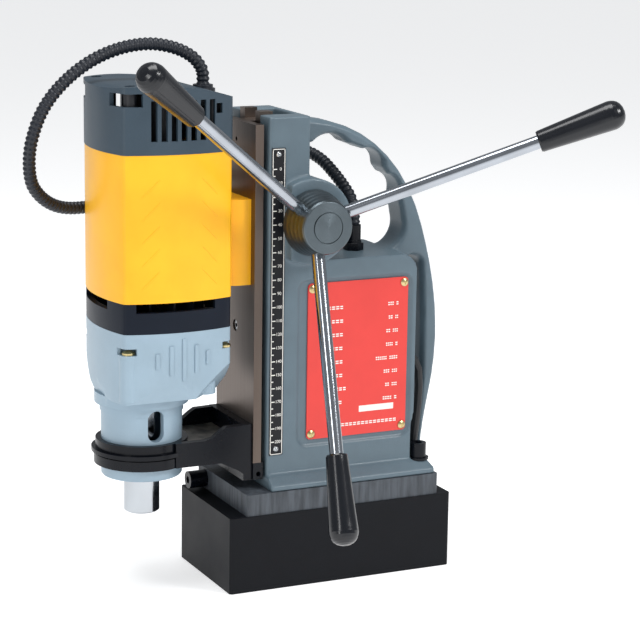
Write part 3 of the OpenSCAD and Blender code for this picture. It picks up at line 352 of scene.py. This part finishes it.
def tube(name, line, radius_at, sides):
    """A closed tube along a line, with its own radius at each station."""
    verts, faces = [], []
    side = Vector((1, 0.2, 0))
    n = len(line)
    for i, p in enumerate(line):
        along = (line[min(i + 1, n - 1)] - line[max(i - 1, 0)]).normalized()
        side = (side - side.dot(along) * along).normalized()
        other = along.cross(side)
        for k in range(sides):
            a = 2 * math.pi * k / sides
            verts.append(p + radius_at(i) * (math.cos(a) * side + math.sin(a) * other))
    for i in range(n - 1):
        for k in range(sides):
            a, b = i * sides + k, i * sides + (k + 1) % sides
            faces.append((a, b, b + sides, a + sides))
    faces.append(tuple(range(sides))[::-1])
    faces.append(tuple((n - 1) * sides + k for k in range(sides)))
    return mesh_of(name, [v * MM for v in verts], faces)


def make_conduit():
    """A bellows-like hose that stretches between the stand and the carriage."""
    route = [Vector(CONDUIT_ENDS[0])] + smooth_line(CONDUIT, 6) + [Vector(CONDUIT_ENDS[1])]
    line, length = even_line(route, STATION_GAP)
    mesh = tube("conduit", line, lambda i: RIDGE[i % len(RIDGE)], 16)
    o = piece("corrugated_conduit", mesh, None, "black_plastic", ("conduit",))
    smooth(o, 50)
    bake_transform(o)


make_conduit()


# ------------------------------------------------------------- cast column

def make_casting():
    """The column casting with the soft corners of a sand casting."""
    source = nodes["drill_frame"]
    copy = source.copy()
    copy.data = source.data.copy()
    copy.modifiers.clear()
    bpy.context.scene.collection.objects.link(copy)
    remesh = copy.modifiers.new("skin", "REMESH")
    remesh.mode = "VOXEL"
    remesh.voxel_size = 0.0012
    soften = copy.modifiers.new("soften", "SMOOTH")
    soften.factor = 0.5
    soften.iterations = 4
    thin = copy.modifiers.new("thin", "DECIMATE")
    thin.ratio = 0.3
    graph = bpy.context.evaluated_depsgraph_get()
    mesh = bpy.data.meshes.new_from_object(copy.evaluated_get(graph))
    bpy.data.objects.remove(copy)
    mesh.name = "casting"
    mesh.materials.clear()
    o = piece("cast_column", mesh, "stand", "casting_paint", ("drill_frame",))
    smooth(o, 50)


make_casting()


# ----------------------------------------------------------- printed marks

MARK_BURIED, MARK_PROUD = 0.05, 0.07
BLOCK_FACES = (
    (0, 1, 3, 2), (4, 6, 7, 5), (0, 4, 5, 1), (2, 3, 7, 6), (0, 2, 6, 4), (1, 5, 7, 3),
)


def print_marks(name, face_x, bars):
    """Flat marks on a near face, as (y0, y1, z0, z1) in millimetres."""
    verts, faces = [], []
    for y0, y1, z0, z1 in bars:
        base = len(verts)
        for x in (face_x - MARK_BURIED, face_x + MARK_PROUD):
            for y in (y0, y1):
                for z in (z0, z1):
                    verts.append(Vector((x, y, z)) * MM)
        faces += [tuple(base + k for k in f) for f in BLOCK_FACES]
    piece(name, mesh_of(name, verts, faces), "stand", "white_print")


# The travel scale: millimetres, from the lowest tick up
FIRST_TICK, TICK_PITCH, TICKS = 108, 5, 41
LONG_TICK, SHORT_TICK, HALF_TICK = 3.4, 2.2, 0.35
BORDER = 0.5
NUMBER_Y, NUMBER_HEIGHT, NUMBER_PROUD = -48.3, 3.2, 0.06


def make_scale():
    """The travel scale: a border, a tick every 5 mm and a number every 10 mm."""
    lo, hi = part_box("travel_scale")
    face = hi[0] / MM
    y0, y1 = lo[1] / MM + BORDER, hi[1] / MM - BORDER
    z0, z1 = lo[2] / MM + BORDER, hi[2] / MM - BORDER
    bars = [
        (y0, y1, z0, z0 + BORDER), (y0, y1, z1 - BORDER, z1),
        (y0, y0 + BORDER, z0, z1), (y1 - BORDER, y1, z0, z1),
    ]
    for i in range(TICKS):
        z = FIRST_TICK + TICK_PITCH * i
        reach = LONG_TICK if i % 2 == 0 else SHORT_TICK
        bars.append((y0, y0 + reach, z - HALF_TICK, z + HALF_TICK))
    print_marks("scale_marks", face, bars)
    for i in range(0, TICKS, 2):
        font = bpy.data.curves.new("number", "FONT")
        font.body = str((TICKS - 1 - i) * TICK_PITCH)
        font.size = NUMBER_HEIGHT * MM
        font.extrude = NUMBER_PROUD * MM
        font.align_x = "CENTER"
        font.align_y = "CENTER"
        text = bpy.data.objects.new("number", font)
        bpy.context.scene.collection.objects.link(text)
        graph = bpy.context.evaluated_depsgraph_get()
        mesh = bpy.data.meshes.new_from_object(text.evaluated_get(graph))
        bpy.data.objects.remove(text)
        mesh.materials.clear()
        turn = Matrix(((0, 0, 1), (1, 0, 0), (0, 1, 0))).to_4x4()
        turn.translation = Vector((face, NUMBER_Y, FIRST_TICK + TICK_PITCH * i)) * MM
        mesh.transform(turn)
        piece(f"scale_number_{i // 2}", mesh, "stand", "white_print")


make_scale()


# Rows on the rating plate, kept generic: lengths of the marks in each row,
# first the label and then the value
PLATE_ROWS = [
    ((2.2, 2.6, 2.4, 2.2), (5, 2)), ((2.4, 2.2, 2.6, 2.4), (3.6, 2.8)),
    ((2.6, 2.2, 2.4, 2.4), (3.6, 4.6)), ((2.2, 2.4, 2.2, 2.6), (6, 2.2)),
    ((2.6, 2.4, 2.4, 2.2), (9.4, 7)), ((2.2, 2.4, 2.6, 2.4), (5, 4.6)),
    ((2.4, 2.6, 2.4, 2.2, 2.2), (3.6, 4.6)), ((2.2, 2.2, 2.6, 2.4), (7.6, 2.4)),
]
ROW_TOP, ROW_PITCH = 202.5, 10.2
LABEL_START, VALUE_END = -8.5, 49.5
LABEL_GAP, VALUE_GAP = 0.9, 1.8
MARK_HEIGHT, MARK_STROKE = 2.4, 0.36
CELL_WIDTH, CELL_GAP = 1.7, 0.5
BLANK_BOX = (18, 46.5, 123.6, 128.2)
LAST_LINE_START, LAST_LINE_PITCH, LAST_LINE_Z, LAST_LINE_MARKS = -3, 3.3, 114, 16


def make_plate_marks():
    """White rows of marks on the red plate, with a blank box and a last line."""
    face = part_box("nameplate")[1][0] / MM
    bars = []

    def mark(y, z, size, height):
        """One mark: two plain strokes, one over the other."""
        stroke = height * MARK_STROKE
        bars.append((y, y + size, z, z + stroke))
        bars.append((y, y + size, z + height - stroke, z + height))

    for i, (label, value) in enumerate(PLATE_ROWS):
        z = ROW_TOP - ROW_PITCH * i
        y = LABEL_START
        for size in label:
            mark(y, z, size, MARK_HEIGHT)
            y += size + LABEL_GAP
        y = VALUE_END - sum(value) - VALUE_GAP
        for size in value:
            cells = max(1, round(size / CELL_WIDTH))
            for k in range(cells):
                mark(y + k * size / cells, z, size / cells - CELL_GAP, MARK_HEIGHT)
            y += size + VALUE_GAP
    bars.append(BLANK_BOX)
    for k in range(LAST_LINE_MARKS):
        mark(LAST_LINE_START + LAST_LINE_PITCH * k, LAST_LINE_Z, 2.5, 2.2)
    print_marks("plate_marks", face, bars)


make_plate_marks()


# --------------------------------------------------- raised lines on the body

# A plain pattern: on each long side two mirrored columns of sloping strokes,
# evenly spaced. Lengths in millimetres
BODY_BULGE = 6.7
STROKE_ROWS = 5
STROKE_PITCH = 16
STROKE_TOP = 306
STROKE_INNER = 16
STROKE_RUN = 12
STROKE_STEPS = 6
STROKE_RADIUS = 0.34


def make_body_lines():
    """Fine raised strokes that follow the bulge of the body's two long sides."""
    lo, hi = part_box("motor_housing")
    face = hi[0] / MM
    centre = (lo[1] + hi[1]) / 2 / MM
    corner = face - BODY_BULGE
    bend = (corner ** 2 + BODY_BULGE ** 2) / (2 * BODY_BULGE)
    count = 0
    for side in (-1, 1):
        for column in (-1, 1):
            for row in range(STROKE_ROWS):
                stations = []
                for k in range(STROKE_STEPS + 1):
                    run = STROKE_RUN * k / STROKE_STEPS
                    across = STROKE_INNER + run
                    inward = bend - math.sqrt(bend ** 2 - across ** 2)
                    stations.append(Vector((
                        side * (face - inward),
                        centre + column * across,
                        STROKE_TOP - STROKE_PITCH * row - run,
                    )))
                count += 1
                mesh = tube("body_line", stations, lambda i: STROKE_RADIUS, 8)
                smooth(piece(f"body_line_{count}", mesh, "carriage", "yellow_paint"), 60)


make_body_lines()


# --------------------------------------------------------- pale top of the bracket web

WEB_HALF, WEB_REAR, WEB_FRONT = 26.8, -73.8, -117.8
WEB_LOW, WEB_HIGH = 109.3, 109.6
RING_Y, RING_R = -140, 31
WEB_STEPS = 12


def make_pale_web_top():
    """The bracket's web, with a pale metal sheet on top between the cheeks and the ring."""
    outline = [(-WEB_HALF, WEB_REAR), (WEB_HALF, WEB_REAR)]
    for k in range(WEB_STEPS + 1):
        x = WEB_HALF - 2 * WEB_HALF * k / WEB_STEPS
        outline.append((x, max(WEB_FRONT, RING_Y + math.sqrt(RING_R ** 2 - x ** 2))))
    n = len(outline)
    verts = [Vector((x, y, z)) * MM for z in (WEB_LOW, WEB_HIGH) for x, y in outline]
    faces = [tuple(range(n))[::-1], tuple(range(n, 2 * n))]
    faces += [(k, (k + 1) % n, n + (k + 1) % n, n + k) for k in range(n)]
    piece("pale_web_top", mesh_of("pale_web_top", verts, faces), "carriage", "pale_metal")


make_pale_web_top()


# ------------------------------------------------------------------- stage

def area(name, at, aim, size, power):
    """A soft rectangular light that looks at a point."""
    data = bpy.data.lights.new(name, "AREA")
    data.shape = "RECTANGLE"
    data.size, data.size_y = size
    data.energy = power
    o = bpy.data.objects.new(name, data)
    bpy.context.scene.collection.objects.link(o)
    o.location = at
    o.rotation_mode = "QUATERNION"
    o.rotation_quaternion = (Vector(aim) - Vector(at)).to_track_quat("-Z", "Y")
    return o


def make_stage():
    """A pale floor that glows a little, an even sky and three soft lights."""
    r = 30
    corners = [(-r, -r, 0), (r, -r, 0), (r, r, 0), (-r, r, 0)]
    floor = mesh_of("floor", corners, [(0, 1, 2, 3)])
    m = bpy.data.materials.new("floor")
    m.use_nodes = True
    b = m.node_tree.nodes["Principled BSDF"]
    b.inputs["Base Color"].default_value = (0.8, 0.8, 0.8, 1)
    b.inputs["Roughness"].default_value = 0.8
    b.inputs["Emission Color"].default_value = (1, 1, 1, 1)
    b.inputs["Emission Strength"].default_value = 0.56
    floor.materials.append(m)
    o = bpy.data.objects.new("floor", floor)
    o.location = (0, 0, -0.0003)
    bpy.context.scene.collection.objects.link(o)
    world = bpy.data.worlds.new("studio")
    bpy.context.scene.world = world
    world.use_nodes = True
    sky = world.node_tree.nodes["Background"]
    sky.inputs["Color"].default_value = (0.93, 0.96, 1, 1)
    sky.inputs["Strength"].default_value = 0.35
    area("key", (1.3, 0.9, 1.3), (0, -0.02, 0.2), (0.5, 0.5), 18)
    area("left", (1.0, -1.6, 0.8), (0, -0.1, 0.25), (0.3, 1.2), 9)
    area("top", (0.1, -0.2, 1.9), (0, 0, 0.2), (1.0, 1.0), 22)
    view = bpy.context.scene.view_settings
    view.view_transform = "Standard"
    view.look = "None"


make_stage()
